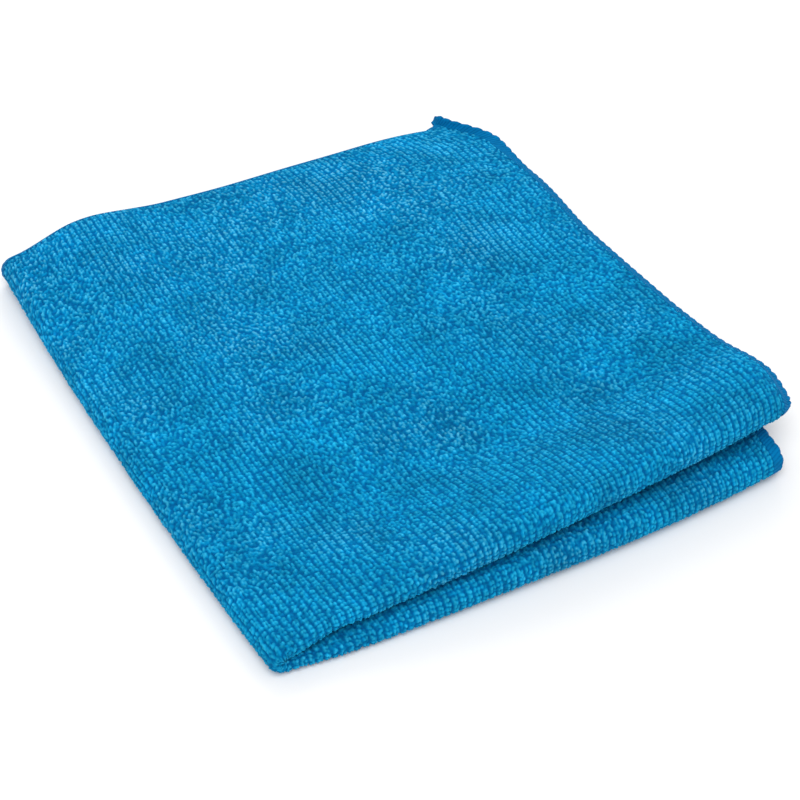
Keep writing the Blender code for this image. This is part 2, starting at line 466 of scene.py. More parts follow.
@dataclass
class TerryPile:
    """The loops of the terry, two columns of them to a wale, more or less upset.

    Attributes:
        column_pitch: distance between the columns of loops, which run along the cloth.
        course_pitch: distance between the loops of a column.
        pairing: how far the two columns of a wale stand together, as a share of their pitch.
        missing: the share of the loops that are pressed down and leave a hole.
        ground: height of the knitted ground above the middle of the fabric.
        relief: height of the tallest loop above the ground.
        calm_start: distance from the front folds' crest within which the loops keep their rows.
        loop_size: half a calm loop's length and width, as shares of the two pitches.
        pressed_top: height of a loop that is pressed down.
        fuzz: how far loose fibres roughen the loops.
        furrow: how deep the furrow between two wales is, where the loops keep their rows.
    """

    column_pitch: float = 0.00118
    course_pitch: float = 0.00150
    pairing: float = 0.16
    missing: float = 0.10
    ground: float = 0.00050
    relief: float = 0.00076
    seed: int = 11
    half_columns: int = 158
    half_rows: int = 138
    upset_waves: SoftWaves = SoftWaves(wavelength=0.040, seed=21)
    upset_level: float = 0.76
    upset_swing: float = 0.45
    upset_least: float = 0.38
    order_level: float = 1.2
    calm_start: float = 0.012
    calm_fade: float = 0.045
    calm_share: float = 0.30
    jitter: tuple[float, float] = (0.95, 1.05)
    loop_size: tuple[float, float] = (0.53, 0.56)
    size_spread: tuple[float, float] = (0.28, 0.08)
    loop_roundness: float = 0.7
    lean_spread: float = 0.62
    uneven_tops: float = 0.50
    pressed_top: float = 0.3
    fuzz_waves: SoftWaves = SoftWaves(wavelength=0.0012, seed=23)
    fuzz: float = 0.15
    furrow: float = 0.50
    furrow_sharpness: float = 6.0
    centre: Array = field(init=False, repr=False)
    size: Array = field(init=False, repr=False)
    lean: Array = field(init=False, repr=False)
    top: Array = field(init=False, repr=False)
    tone: Array = field(init=False, repr=False)

    def __post_init__(self) -> None:
        """Draws every loop of the cloth once."""
        shape = (2 * self.half_columns, 2 * self.half_rows)
        columns, rows = np.meshgrid(
            np.arange(shape[0]) - self.half_columns + 0.5,
            np.arange(shape[1]) - self.half_rows + 0.5,
            indexing="ij",
        )
        across, along = columns * self.column_pitch, rows * self.course_pitch
        draw = np.random.default_rng(self.seed)
        upset = self.upset(across, along)
        jitter = draw.uniform(-0.5, 0.5, (2, *shape)) * upset
        side = np.where(np.floor(columns) % 2 == 0, 1.0, -1.0)
        paired = self.pairing * side * (self.order_level - upset)
        self.centre = np.stack(
            [
                across + (self.jitter[0] * jitter[0] + paired) * self.column_pitch,
                along + self.jitter[1] * jitter[1] * self.course_pitch,
            ]
        )
        longer = self.size_spread[0] * upset * draw.uniform(0.2, 1.2, shape)
        narrower = self.size_spread[1] * upset * draw.uniform(0.0, 1.0, shape)
        length = (self.loop_size[0] + longer) * self.course_pitch
        width = (self.loop_size[1] - narrower) * self.column_pitch
        self.size = np.stack([length, width])
        self.lean = draw.normal(0.0, self.lean_spread, shape) * upset
        uneven = draw.uniform(0.0, self.uneven_tops, shape) * (0.35 + 0.65 * upset)
        pressed = draw.uniform(0.0, 1.0, shape) < self.missing
        self.top = np.where(pressed, self.pressed_top, 1.0 - uneven)
        self.tone = draw.uniform(0.0, 1.0, shape)

    def upset(self, across: Array, along: Array) -> Array:
        """How far the loops are brushed out of their rows, 0 to 1, least near the front folds."""
        calm = 1.0 - smooth((np.abs(along) - self.calm_start) / self.calm_fade)
        wild = self.upset_level + self.upset_swing * self.upset_waves.at(across, along)
        return np.clip(wild - self.calm_share * calm, self.upset_least, 1.0)

    def loops(self, across: Array, along: Array) -> tuple[Array, Array]:
        """The looped face at points of the sheet.

        Args:
            across: distance from the middle of the side fold, on the looped face.
            along: distance from the crest of the front folds, on the looped face.

        Returns:
            Height from 0, the ground, to 1, the tallest loop, and each loop's own tone, 0 to 1.
        """
        column = np.floor(across / self.column_pitch).astype(int) + self.half_columns
        row = np.floor(along / self.course_pitch).astype(int) + self.half_rows
        best, tone = np.zeros(column.shape), np.full(column.shape, 0.5)
        for step_column, step_row in product((-1, 0, 1), (-1, 0, 1)):
            at = (column + step_column, row + step_row)
            from_side = across - self.centre[0][at]
            from_front = along - self.centre[1][at]
            cos, sin = np.cos(self.lean[at]), np.sin(self.lean[at])
            lengthwise = (from_side * sin + from_front * cos) / self.size[0][at]
            sidewise = (from_side * cos - from_front * sin) / self.size[1][at]
            inside = np.clip(1.0 - lengthwise**2 - sidewise**2, 0.0, None)
            height = self.top[at] * inside**self.loop_roundness
            tone = np.where(height > best, self.tone[at], tone)
            best = np.maximum(best, height)
        wale = 2.0 * self.column_pitch
        between = np.abs(np.cos(math.pi * across / wale)) ** self.furrow_sharpness
        calm = np.clip(1.2 - self.upset(across, along), 0.0, 0.6)
        best = best * (1.0 - self.furrow * between * calm / 0.6)
        best = best + self.fuzz * self.fuzz_waves.at(across, along)
        return np.clip(best, 0.0, 1.05), tone


@dataclass
class Overlock:
    """The thread that binds a cut edge: yarns side by side round it, and a chain on its rim.

    Attributes:
        yarn_pitch: distance between the yarns that pass over the faces.
        yarn_relief: how far a yarn stands up from the grooves beside it.
        stitch_pitch: distance between the chain's stitches.
        chain_relief: how far a stitch of the chain stands out from the rim.
        slant: how far the yarns lean along the edge for each metre across it.
        half_height: half the height of the bound edge.
        end_rounding: length over which a free end tapers.
        tip: thickness of a free end's tip, as a share of the edge's.
        tail: how far the thread goes on past a free end.
    """

    yarn_pitch: float = 0.00115
    yarn_relief: float = 0.00022
    stitch_pitch: float = 0.0036
    chain_relief: float = 0.00060
    slant: float = 0.30
    half_height: float = 0.00085
    end_rounding: float = 0.0036
    tip: float = 0.12
    tip_roundness: float = 0.6
    tail: float = 0.0028
    yarn_roundness: float = 0.6
    stitch_roundness: float = 0.7
    face_steps: int = 7
    rim_steps: int = 8

    def section(self, hem: float) -> tuple[Array, Array, Array, Array]:
        """One closed cross-section of the bound edge.

        Args:
            hem: width of the bound edge.

        Returns:
            Distance from the hem's inner side, height, and the two parts of the outward normal.
        """
        straight = hem - self.half_height
        top = np.linspace(0.0, straight, self.face_steps)
        turns = np.linspace(QUARTER_TURN, -QUARTER_TURN, self.rim_steps + 1)[1:-1]
        reach = np.concatenate([top, straight + self.half_height * np.cos(turns), top[::-1]])
        flat = np.ones(self.face_steps)
        sine = np.concatenate([flat, np.sin(turns), -flat])
        cosine = np.concatenate([0.0 * flat, np.cos(turns), 0.0 * flat])
        return reach, self.half_height * sine, cosine, sine

    def relief(self, run: Array, reach: Array, rim: Array) -> tuple[Array, Array]:
        """How far the thread stands out.

        Args:
            run: distance along the edge.
            reach: distance from the hem's inner side.
            rim: 1 on the rim and 0 on the faces.

        Returns:
            The height of the relief in metres, and the same from 0, a groove, to 1, a yarn.
        """
        turn = math.pi * (run + self.slant * reach) / self.yarn_pitch
        yarn = np.abs(np.sin(turn)) ** self.yarn_roundness
        stitch = np.abs(np.sin(math.pi * run / self.stitch_pitch)) ** self.stitch_roundness
        height = self.yarn_relief * yarn * (1.0 - 0.5 * rim) + self.chain_relief * stitch * rim
        return height, np.clip(yarn * (1.0 - rim) + stitch * rim, 0.0, 1.0)

    def taper(self, run: Array) -> Array:
        """How much of its thickness the edge has along its run, where both of its ends are free."""
        from_end = np.minimum(run - run[0], run[-1] - run)
        share = np.clip(1.0 - from_end / self.end_rounding, 0.0, 1.0)
        return self.tip + (1.0 - self.tip) * (1.0 - share) ** self.tip_roundness


class NodeBench:
    """Puts a material's nodes together."""

    def __init__(self, name: str) -> None:
        """Starts a material with its Principled shader.

        Args:
            name: the material's name.
        """
        self.material = bpy.data.materials.new(name)
        self.material.use_nodes = True
        self.nodes = self.material.node_tree.nodes
        self.shader = self.nodes["Principled BSDF"]

    def add(self, kind: str, **settings: object) -> bpy.types.Node:
        """Adds a node and sets its properties."""
        node = self.nodes.new(f"ShaderNode{kind}")
        for key, value in settings.items():
            setattr(node, key, value)
        return node

    def link(self, source: bpy.types.NodeSocket, target: bpy.types.NodeSocket) -> None:
        """Joins two sockets."""
        self.material.node_tree.links.new(source, target)

    def attribute(self, name: str) -> bpy.types.NodeSocket:
        """The value of one of the piece's own attributes."""
        return self.add("Attribute", attribute_name=name).outputs["Fac"]

    def along(self) -> bpy.types.NodeSocket:
        """The sheet's own second coordinate, in metres."""
        parts = self.add("SeparateXYZ")
        place = self.add("UVMap", uv_map=SheetMesh.CLOTH_MAP).outputs["UV"]
        self.link(place, parts.inputs["Vector"])
        return parts.outputs["Y"]

    def add_up(self, first: bpy.types.NodeSocket, second: bpy.types.NodeSocket) -> bpy.types.NodeSocket:
        """The sum of two values, held between 0 and 1."""
        node = self.add("Math", operation="ADD", use_clamp=True)
        self.link(first, node.inputs[0])
        self.link(second, node.inputs[1])
        return node.outputs["Value"]

    def noise(self, scale: float, detail: float, stretch: Colour = (1.0, 1.0, 1.0)) -> bpy.types.NodeSocket:
        """Noise that lies on the cloth.

        Args:
            scale: how many features to a metre.
            detail: how many finer layers of noise are added.
            stretch: how much denser the noise is in each direction.

        Returns:
            The noise's value, about 0 to 1.
        """
        mapping = self.add("Mapping")
        mapping.inputs["Scale"].default_value = stretch
        self.link(self.add("UVMap", uv_map=SheetMesh.CLOTH_MAP).outputs["UV"], mapping.inputs["Vector"])
        texture = self.add("TexNoise")
        texture.inputs["Scale"].default_value = scale
        texture.inputs["Detail"].default_value = detail
        self.link(mapping.outputs["Vector"], texture.inputs["Vector"])
        return texture.outputs["Fac"]

    def ramp(self, value: bpy.types.NodeSocket, stops: list[tuple[float, Colour]]) -> bpy.types.NodeSocket:
        """Turns a value into a colour.

        Args:
            value: the socket that drives it.
            stops: places from 0 to 1 with their colours.

        Returns:
            The colour's socket.
        """
        node = self.add("ValToRGB")
        band = node.color_ramp.elements
        while len(band) < len(stops):
            band.new(0.5)
        for element, (place, colour) in zip(band, stops):
            element.position = place
            element.color = (*colour, 1.0)
        self.link(value, node.inputs["Fac"])
        return node.outputs["Color"]

    def between(self, value: bpy.types.NodeSocket, low: float, high: float,
                start: float = 0.0, end: float = 1.0) -> bpy.types.NodeSocket:
        """Maps a value that runs from start to end onto low to high."""
        node = self.add("MapRange")
        for name, number in (("From Min", start), ("From Max", end), ("To Min", low), ("To Max", high)):
            node.inputs[name].default_value = number
        self.link(value, node.inputs["Value"])
        return node.outputs["Result"]

    def mix(self, share: bpy.types.NodeSocket, first: bpy.types.NodeSocket,
            second: bpy.types.NodeSocket, blend: str = "MIX") -> bpy.types.NodeSocket:
        """Mixes two colours by a share."""
        node = self.add("Mix", data_type="RGBA", blend_type=blend)
        for value, target in ((share, 0), (first, 6), (second, 7)):
            self.link(value, node.inputs[target])
        return node.outputs[2]

    def brighten(self, colour: bpy.types.NodeSocket, value: bpy.types.NodeSocket) -> bpy.types.NodeSocket:
        """Scales a colour's brightness by a value."""
        node = self.add("HueSaturation")
        self.link(colour, node.inputs["Color"])
        self.link(value, node.inputs["Value"])
        return node.outputs["Color"]

    def bump(self, height: bpy.types.NodeSocket, strength: float, distance: float) -> None:
        """Gives the shader a bump."""
        node = self.add("Bump")
        node.inputs["Strength"].default_value = strength
        node.inputs["Distance"].default_value = distance
        self.link(height, node.inputs["Height"])
        self.link(node.outputs["Normal"], self.shader.inputs["Normal"])

    def set(self, **values: float) -> None:
        """Sets uniform values on the shader's own sockets, named with _ for a space."""
        for name, value in values.items():
            self.shader.inputs[name.replace("_", " ")].default_value = value


@dataclass(frozen=True)
class TerryFinish:
    """Looped microfibre: painted shade between the loops, painted highlight on their crowns, greyer painted
    sheen where the pile is laid flat.
    """

    name: str = "looped_terry"
    # The crevice colour is painted shade between the loops and the crown colour a painted highlight on their
    # tips; the flank is the fibre's own blue.
    crevice_shade: Colour = (0.0001, 0.102, 0.290)
    flank: Colour = (0.0008, 0.219, 0.455)
    crown_highlight: Colour = (0.0140, 0.386, 0.640)
    # Painted sheen: the lighter, greyer colour of pile laid flat where it catches the light.
    brushed_sheen: Colour = (0.0850, 0.410, 0.620)
    sheen: float = 0.15

    def material(self) -> bpy.types.Material:
        """Makes the material.

        Returns:
            The finished material.
        """
        bench = NodeBench(self.name)
        pile = bench.attribute(SheetMesh.PILE)
        # Colour by pile height: painted shade in the crevices, painted highlight on the crowns.
        colour = bench.ramp(
            pile, [(0.0, self.crevice_shade), (0.45, self.flank), (0.95, self.crown_highlight)]
        )
        # Patches of painted sheen where the pile is laid flat, more of them towards the back edge.
        patches = bench.between(bench.noise(26.0, 2.0), 0.0, 0.75, 0.47, 0.70)
        patches = bench.add_up(patches, bench.between(bench.along(), 0.0, 0.45, 0.08, 0.19))
        brushed_sheen = bench.ramp(
            pile, [(0.0, self.crevice_shade), (0.5, self.flank), (0.9, self.brushed_sheen)]
        )
        colour = bench.mix(patches, colour, brushed_sheen)
        loop = bench.between(bench.attribute(SheetMesh.TONE), 0.84, 1.14)
        shade = bench.between(bench.noise(60.0, 4.0), 0.82, 1.18, 0.3, 0.7)
        towards_back = bench.between(bench.along(), 0.98, 1.10, 0.06, 0.19)
        fibres = bench.between(bench.noise(1100.0, 2.0), 0.86, 1.14, 0.3, 0.7)
        for light in (loop, shade, towards_back, fibres):
            colour = bench.brighten(colour, light)
        bench.link(colour, bench.shader.inputs["Base Color"])
        bench.link(bench.between(pile, 1.0, 0.82), bench.shader.inputs["Roughness"])
        bench.bump(bench.noise(2600.0, 3.0, (1.0, 0.55, 1.0)), 0.45, 0.00025)
        bench.set(Sheen_Weight=self.sheen, Sheen_Roughness=0.45, Specular_IOR_Level=0.04)
        bench.shader.inputs["Sheen Tint"].default_value = (0.05, 0.60, 1.0, 1.0)
        return bench.material


@dataclass(frozen=True)
class ThreadFinish:
    """Overlock thread: smooth yarns with painted shade in the grooves between them, deeper in colour than
    the terry.
    """

    name: str = "overlock_thread"
    # The groove colour is painted shade between the yarns.
    groove: Colour = (0.0001, 0.055, 0.200)
    yarn: Colour = (0.0003, 0.160, 0.390)
    sheen: float = 0.04

    def material(self) -> bpy.types.Material:
        """Makes the material.

        Returns:
            The finished material.
        """
        bench = NodeBench(self.name)
        relief = bench.attribute(SheetMesh.PILE)
        # Colour by relief: painted shade in the grooves, the yarn's own blue on top.
        colour = bench.ramp(relief, [(0.05, self.groove), (0.75, self.yarn)])
        wear = bench.between(bench.noise(350.0, 3.0), 0.85, 1.15, 0.3, 0.7)
        colour = bench.brighten(colour, wear)
        bench.link(colour, bench.shader.inputs["Base Color"])
        bench.link(bench.between(relief, 0.9, 0.62), bench.shader.inputs["Roughness"])
        bench.bump(bench.noise(5200.0, 2.0, (1.0, 0.3, 1.0)), 0.3, 0.0001)
        bench.set(Sheen_Weight=self.sheen, Sheen_Roughness=0.4, Specular_IOR_Level=0.03)
        bench.shader.inputs["Sheen Tint"].default_value = (0.05, 0.60, 1.0, 1.0)
        return bench.material


@dataclass(frozen=True)
class FloorFinish:
    """A plain white sweep."""

    name: str = "white_sweep"
    colour: Colour = (0.90, 0.90, 0.90)

    def material(self) -> bpy.types.Material:
        """Makes the material."""
        bench = NodeBench(self.name)
        bench.shader.inputs["Base Color"].default_value = (*self.colour, 1.0)
        bench.set(Roughness=0.9, Specular_IOR_Level=0.1)
        return bench.material


class SheetMesh:
    """Collects the points and faces of one closed piece and writes them as a mesh object."""

    PILE = "pile"
    TONE = "tone"
    CLOTH_MAP = "cloth"
    BAKE_MAP = "OFBake"

    def __init__(self, name: str) -> None:
        """Starts an empty piece.

        Args:
            name: the piece's name.
        """
        self.name = name
        self.points: list[Array] = []
        self.cloth: list[Array] = []
        self.pile: list[Array] = []
        self.tone: list[Array] = []
        self.faces: list[tuple[Array, Array, bool]] = []
        self.count = 0

    def add_points(self, points: Array, across: Array, along: Array, pile: Array, tone: Array) -> Array:
        """Adds a grid of points.

        Args:
            points: their places.
            across: where they lie on the sheet, first coordinate.
            along: the second coordinate.
            pile: how high they stand, 0 to 1.
            tone: their tone, 0 to 1.

        Returns:
            The grid's point numbers.
        """
        shape = points.shape[:-1]
        size = int(np.prod(shape))
        self.points.append(points.reshape(-1, 3))
        uv = np.stack(np.broadcast_arrays(across, along), axis=-1)
        self.cloth.append(np.broadcast_to(uv, (*shape, 2)).reshape(-1, 2))
        self.pile.append(np.broadcast_to(pile, shape).ravel())
        self.tone.append(np.broadcast_to(tone, shape).ravel())
        numbers = np.arange(self.count, self.count + size).reshape(shape)
        self.count += size
        return numbers

    def add_faces(self, corners: Array, spots: Array, is_smooth: bool = True) -> None:
        """Adds faces with the same number of corners.

        Args:
            corners: point numbers, one row to a face.
            spots: each corner's place in the bake's map.
            is_smooth: whether they are shaded smooth.
        """
        self.faces.append((corners, spots, is_smooth))

    def add_grid(self, numbers: Array, low: tuple[float, float], high: tuple[float, float]) -> None:
        """Adds a grid's quads, which take the rectangle from low to high in the bake's map."""
        columns = np.linspace(low[0], high[0], numbers.shape[0])
        rows = np.linspace(low[1], high[1], numbers.shape[1])
        spots = np.stack(np.meshgrid(columns, rows, indexing="ij"), axis=-1)

        def corners(values: Array) -> Array:
            around = [values[:-1, :-1], values[1:, :-1], values[1:, 1:], values[:-1, 1:]]
            return np.stack(around, axis=2)

        quads, places = corners(numbers), corners(spots)
        self.add_faces(quads.reshape(-1, 4), places.reshape(-1, 4, 2))

    def finish(self, material: bpy.types.Material) -> bpy.types.Object:
        """Writes the mesh.

        Args:
            material: the piece's material.

        Returns:
            The piece, with its faces pointing out.
        """
        points = np.concatenate(self.points)
        if self.volume(points) < 0.0:
            self.faces = [(c[:, ::-1], s[:, ::-1], f) for c, s, f in self.faces]
        corners = np.concatenate([c.ravel() for c, _, _ in self.faces])
        sizes = np.concatenate([np.full(len(c), c.shape[1]) for c, _, _ in self.faces])
        starts = np.concatenate([[0], np.cumsum(sizes)[:-1]])
        shading = np.concatenate([np.full(len(c), f) for c, _, f in self.faces])
        mesh = bpy.data.meshes.new(self.name)
        mesh.vertices.add(len(points))
        mesh.vertices.foreach_set("co", points.astype(np.float32).ravel())
        mesh.loops.add(len(corners))
        mesh.loops.foreach_set("vertex_index", corners.astype(np.int32))
        mesh.polygons.add(len(sizes))
        mesh.polygons.foreach_set("loop_start", starts.astype(np.int32))
        mesh.polygons.foreach_set("use_smooth", shading.astype(bool))
        mesh.update(calc_edges=True)
        cloth = np.concatenate(self.cloth)[corners]
        bake = np.concatenate([s.reshape(-1, 2) for _, s, _ in self.faces])
        for name, places in ((self.BAKE_MAP, bake), (self.CLOTH_MAP, cloth)):
            layer = mesh.uv_layers.new(name=name)
            layer.data.foreach_set("uv", places.astype(np.float32).ravel())
        for name, values in ((self.PILE, self.pile), (self.TONE, self.tone)):
            layer = mesh.attributes.new(name, "FLOAT", "POINT")
            layer.data.foreach_set("value", np.concatenate(values).astype(np.float32))
        mesh.materials.append(material)
        piece = bpy.data.objects.new(self.name, mesh)
        bpy.context.collection.objects.link(piece)
        return piece

    def volume(self, points: Array) -> float:
        """The volume inside the faces, negative if they point in."""
        total = 0.0
        for corners, _, _ in self.faces:
            first = points[corners[:, 0]]
            for number in range(1, corners.shape[1] - 1):
                second, third = points[corners[:, number]], points[corners[:, number + 1]]
                total += float((first * np.cross(second, third)).sum())
        return total


@dataclass
class ClothMaker:
    """Makes stretches of the sheet and of its bound edges.

    Attributes:
        back_offset: height of the fabric's back from its middle.
        back_relief: how far the back's knit stands up.
        back_tone: what the back has in place of a pile's height and tone.
        map_split: how far up the bake's map the looped face reaches.
        map_edge: the margin round what lies on the bake's map.
        rim_start: how far up the map the first of a stretch's four rims lies.
        edge_split: how far up the map a bound edge reaches, below its two end caps.
    """

    cloth: FoldedCloth
    pile: TerryPile
    overlock: Overlock
    terry: bpy.types.Material
    thread: bpy.types.Material
    back_offset: float = -0.00095
    back_relief: float = 0.0001
    back_waves: SoftWaves = SoftWaves(wavelength=0.004, seed=8)
    back_tone: tuple[float, float] = (0.55, 0.5)
    map_split: float = 0.78
    map_edge: float = 0.01
    rim_start: float = 0.94
    rim_step: float = 0.015
    rim_height: float = 0.010
    edge_split: float = 0.90
    cap_places: tuple[float, float] = (0.25, 0.75)
    cap_height: float = 0.955
    cap_radius: float = 0.03

    def sheet(self, name: str, columns: Array, rows: Array, coarse: int) -> bpy.types.Object:
        """Makes a closed stretch of terry.

        Args:
            name: the piece's name.
            columns: values of `across`, one for each column.
            rows: values of `along`, one row of them for each column.
            coarse: how many cells of the looped face lie on one cell of the back.

        Returns:
            The piece.
        """
        mesh = SheetMesh(name)
        across = np.broadcast_to(columns[:, None], rows.shape)
        height, tone = self.pile.loops(*self.cloth.face_coordinates(across, rows))
        offset = self.pile.ground + self.pile.relief * height
        face = mesh.add_points(self.cloth.place(across, rows, offset), across, rows, height, tone)
        across, rows = across[::coarse, ::coarse], rows[::coarse, ::coarse]
        offset = self.back_offset + self.back_relief * self.back_waves.at(across, rows)
        back = mesh.add_points(self.cloth.place(across, rows, offset), across, rows, *self.back_tone)
        low, high, split = self.map_edge, 1.0 - self.map_edge, self.map_split
        mesh.add_grid(face, (low, low), (high, split - low))
        mesh.add_grid(back[:, ::-1], (low, split), (high, self.rim_start - low))
        rims = [
            (face[:, 0], back[:, 0]),
            (face[-1, :], back[-1, :]),
            (face[::-1, -1], back[::-1, -1]),
            (face[0, ::-1], back[0, ::-1]),
        ]
        for number, (fine, plain) in enumerate(rims):
            self.add_rim(mesh, fine, plain, coarse, self.rim_start + self.rim_step * number)
        return mesh.finish(self.terry)

    def add_rim(self, mesh: SheetMesh, fine: Array, plain: Array, coarse: int, place: float) -> None:
        """Closes a stretch between the edge of its looped face and that of its back.

        Args:
            mesh: the piece.
            fine: point numbers on the looped face's edge.
            plain: point numbers on the back's edge.
            coarse: how many steps of fine there are to one of plain.
            place: how far up the bake's map the rim lies.
        """
        cells = len(plain) - 1
        starts = np.arange(cells)[:, None]
        steps = np.arange(coarse, -1, -1)[None, :]
        upper = fine[starts * coarse + steps]
        corners = np.concatenate([plain[starts], plain[starts + 1], upper], axis=1)
        run = np.concatenate([starts, starts + 1.0, starts + steps / coarse], axis=1) / cells
        rise = np.zeros(corners.shape)
        rise[:, 2:] = self.rim_height
        run = self.map_edge + (1.0 - 2.0 * self.map_edge) * run
        mesh.add_faces(corners, np.stack([run, place + rise], axis=-1), False)

    def bound_edge(self, name: str, run: Array, is_back: bool, side: float, inner: float,
                   round_ends: bool) -> bpy.types.Object:
        """Makes a stretch of bound edge.

        Args:
            name: the piece's name.
            run: values of the coordinate that runs along the edge.
            is_back: whether it is a back edge, which runs `across`, or a right one.
            side: the sign of the coordinate that crosses the edge.
            inner: that coordinate's size where the terry stops.
            round_ends: whether its two ends are free and rounded.

        Returns:
            The piece.
        """
        mesh = SheetMesh(name)
        reach, height, out, up = self.overlock.section(self.cloth.hem)
        run_grid = np.broadcast_to(run[:, None], (len(run), len(reach)))
        relief, groove = self.overlock.relief(run_grid, reach, out)
        taper = (self.overlock.taper(run) if round_ends else np.ones(len(run)))[:, None]
        crossing = side * (inner + (reach + relief * out) * (0.5 + 0.5 * taper))
        offset = (height + relief * up) * taper
        across, along = (run_grid, crossing) if is_back else (crossing, run_grid)
        points = self.cloth.place(across, along, offset)
        numbers = mesh.add_points(points, across, along, groove, 0.5)
        around = np.concatenate([numbers, numbers[:, :1]], axis=1)
        low = self.map_edge
        mesh.add_grid(around, (low, low), (1.0 - low, self.edge_split))
        for ring, place in zip((numbers[0][::-1], numbers[-1]), self.cap_places):
            turn = np.linspace(0.0, math.tau, len(ring), endpoint=False)
            circle = self.cap_radius * np.stack([np.cos(turn), np.sin(turn)], axis=-1)
            mesh.add_faces(ring[None, :], (circle + (place, self.cap_height))[None], False)
        return mesh.finish(self.thread)

    def flat_area(self, columns: Array, rows: Array) -> tuple[tuple[float, float], float]:
        """The size and area of the cut that a stretch is made from."""
        lengths = rows[:, -1] - rows[:, 0]
        width = float(columns[-1] - columns[0])
        area = float(((lengths[1:] + lengths[:-1]) / 2 * np.diff(columns)).sum())
        longest = float(lengths.max())
        return (width, longest), min(area, width * longest)


def spaced(start: float, end: float, step: float, multiple: int = 1) -> Array:
    """Evenly spaced values, about step apart, whose number of gaps is a multiple."""
    gaps = max(multiple, round(abs(end - start) / step / multiple) * multiple)
    return np.linspace(start, end, gaps + 1)


@dataclass
class SideFold:
    """The fabric that goes round the side fold, in the two quarter turns at which it opens."""

    maker: ClothMaker
    step: tuple[float, float] = (0.00018, 0.00030)
    edge_step: float = 0.00012
    body: str = "side_fold"
    quarters: dict[Half, list[bpy.types.Object]] = field(default_factory=dict)

    @property
    def pieces(self) -> list[bpy.types.Object]:
        """All its pieces."""
        return [piece for quarter in self.quarters.values() for piece in quarter]

    def build(self) -> None:
        """Makes both quarter turns, each of terry and two bound edges."""
        for half in Half:
            edges = [self.build_edge(half, layer) for layer in Layer]
            self.quarters[half] = [self.build_quarter(half), *edges]

    def ends(self, half: Half) -> tuple[float, float]:
        """The two values of `across` between which a quarter turn lies, the lower one first."""
        far = self.maker.cloth.allowance
        return (0.0, far) if half is Half.UPPER else (-far, 0.0)

    def build_quarter(self, half: Half) -> bpy.types.Object:
        """Makes the terry of one quarter turn."""
        maker, cloth = self.maker, self.maker.cloth
        coarse = 2
        columns = spaced(*self.ends(half), self.step[0], coarse)
        far = cloth.half_length - cloth.hem
        row = spaced(-far, far, self.step[1], coarse)
        rows = np.broadcast_to(row[None, :], (len(columns), len(row)))
        piece = maker.sheet(f"side_fold_{half.name.lower()}", columns, rows, coarse)
        self.dress(piece, half, Slot.TERRY, "side_fold_outer", "side_fold_inner", "side_fold_corner")
        return piece

    def build_edge(self, half: Half, layer: Layer) -> bpy.types.Object:
        """Makes the bound back edge of one layer of one quarter turn."""
        maker, cloth = self.maker, self.maker.cloth
        run = spaced(*self.ends(half), self.edge_step)
        name = f"side_fold_{half.name.lower()}_{layer.name.lower()}_back_edge"
        inner = cloth.half_length - cloth.hem
        piece = maker.bound_edge(name, run, True, layer.value, inner, False)
        self.dress(piece, half, Slot.THREAD, f"back_hem_wrap_{layer.name.lower()}")
        return piece

    def dress(self, piece: bpy.types.Object, half: Half, slot: Slot, *nodes: str) -> None:
        """Lets a piece bend between the side fold's middle and a half.

        Args:
            piece: the piece.
            half: the half that it leads to.
            slot: its material slot; not used.
            nodes: the solids that it stands for.
        """
        cloth = self.maker.cloth
        x, y = cloth.origin
        reach = cloth.pitch / 2
        near = Vector((x - reach, y, cloth.stack_middle + half.value * reach))
        bend = Vector((1.0, 0.0, half.value)) * cloth.pitch
        ends = {"start": near - bend, "end": near + bend}
        if half is Half.UPPER:
            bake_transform(piece, self.body, half.body, **ends)
        else:
            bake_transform(piece, half.body, self.body, start=ends["end"], end=ends["start"])
        self.follow_turn(piece, half)
        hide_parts(*nodes)

    def follow_turn(self, piece: bpy.types.Object, half: Half) -> None:
        """Spreads the bend evenly round the quarter turn, the same at every layer.

        Args:
            piece: a piece that blends between two bodies.
            half: the half that it leads to.
        """
        mesh = piece.data
        places = np.zeros(2 * len(mesh.loops), np.float32)
        mesh.uv_layers[SheetMesh.CLOTH_MAP].data.foreach_get("uv", places)
        corners = np.zeros(len(mesh.loops), np.int32)
        mesh.loops.foreach_get("vertex_index", corners)
        across = np.zeros(len(mesh.vertices), np.float32)
        across[corners] = places[::2]
        share = np.abs(across) / self.maker.cloth.allowance
        weight = smooth(share if half is Half.UPPER else 1.0 - share)
        mesh.attributes["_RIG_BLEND"].data.foreach_set("value", weight.astype(np.float32))


